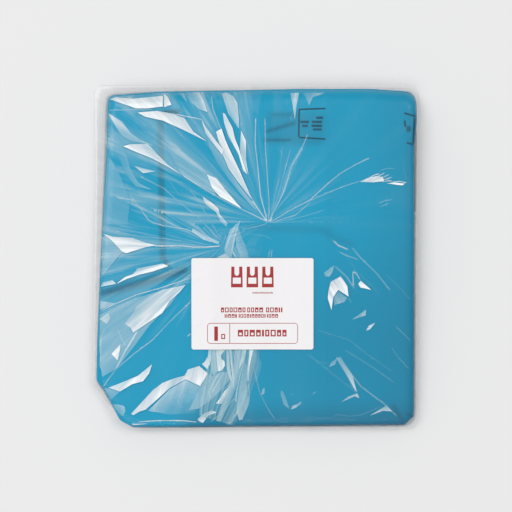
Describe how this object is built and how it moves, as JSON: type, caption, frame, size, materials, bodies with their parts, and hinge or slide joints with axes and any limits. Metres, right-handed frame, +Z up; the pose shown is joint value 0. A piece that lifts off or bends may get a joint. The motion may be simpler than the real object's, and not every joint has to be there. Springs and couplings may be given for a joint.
{
  "type": "pack of plastic carrier bags",
  "caption": "Flat sealed pack of folded blue plastic carrier bags in a clear film bag, its gathered mouth held down on the front by a white paper label.",
  "frame": {"origin": "under the middle of the pack, on the surface that it lies on", "axes": "+X across the bags, +Y towards their fold, which is the top of the label's print, +Z up out of the labelled face"},
  "size_m": [0.269, 0.284, 0.0297],
  "materials": {
    "blue_film": "thin translucent blue polythene, slightly crinkled, semi-matt",
    "clear_film": "thin clear glossy polythene film with sharp folds",
    "white_paper": "smooth white label paper with dark red print"
  },
  "bodies": {
    "root": {"bag_stack": "blue_film", "clear_wrap": "clear_film", "label": "white_paper"}
  },
  "joints": []
}
